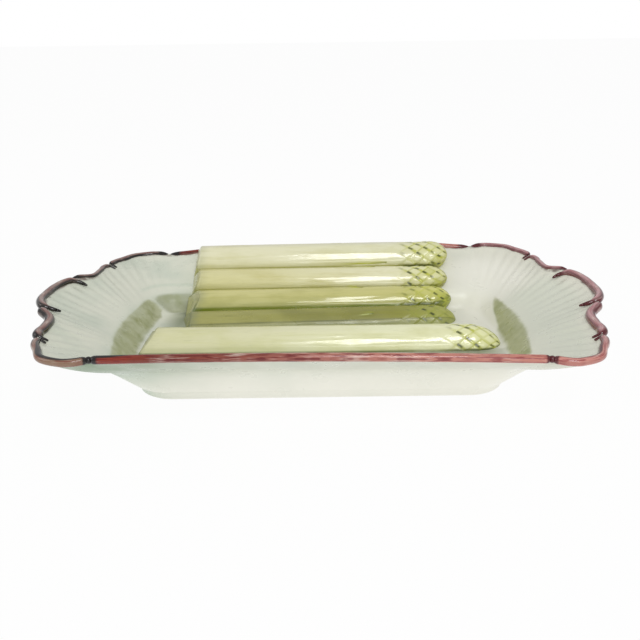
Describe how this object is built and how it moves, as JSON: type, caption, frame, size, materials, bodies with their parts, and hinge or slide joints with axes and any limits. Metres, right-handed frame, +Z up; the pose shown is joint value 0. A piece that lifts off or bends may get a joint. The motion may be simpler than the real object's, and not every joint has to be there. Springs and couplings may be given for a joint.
{
  "type": "asparagus plate",
  "caption": "Oblong glazed faience plate with a scalloped scroll rim, a sauce well and raised asparagus spears that hold the food clear of its juices.",
  "frame": {"origin": "on the table, under the middle of the foot and of the plate's outline", "axes": "+X along the plate towards the spear tips, +Y to the back where the bank of spears lies, +Z up"},
  "size_m": [0.379, 0.2506, 0.054],
  "materials": {
    "body_glaze": "glossy tin glaze, off-white with pale green washes, finely crazed",
    "spear_glaze": "glossy glaze, cream shaded to yellow-green at the tips and in the valleys",
    "rim_glaze": "brushed rose to mauve-brown under a clear glaze, dark at the curls"
  },
  "bodies": {
    "root": {"platter_body": "body_glaze", "foot_ring": "body_glaze", "spear_front": "spear_glaze", "spear_bank_top": "spear_glaze", "spear_bank_second": "spear_glaze", "spear_bank_third": "spear_glaze", "spear_bank_low": "spear_glaze", "rim_rail_front": "rim_glaze", "rim_rail_rear": "rim_glaze", "rim_corner_rear_right": "rim_glaze", "rim_corner_front_right": "rim_glaze", "rim_corner_rear_left": "rim_glaze", "rim_corner_front_left": "rim_glaze", "rim_side_rear_right": "rim_glaze", "rim_side_front_right": "rim_glaze", "rim_side_rear_left": "rim_glaze", "rim_side_front_left": "rim_glaze", "rim_end_right": "rim_glaze", "rim_end_left": "rim_glaze"}
  },
  "joints": []
}
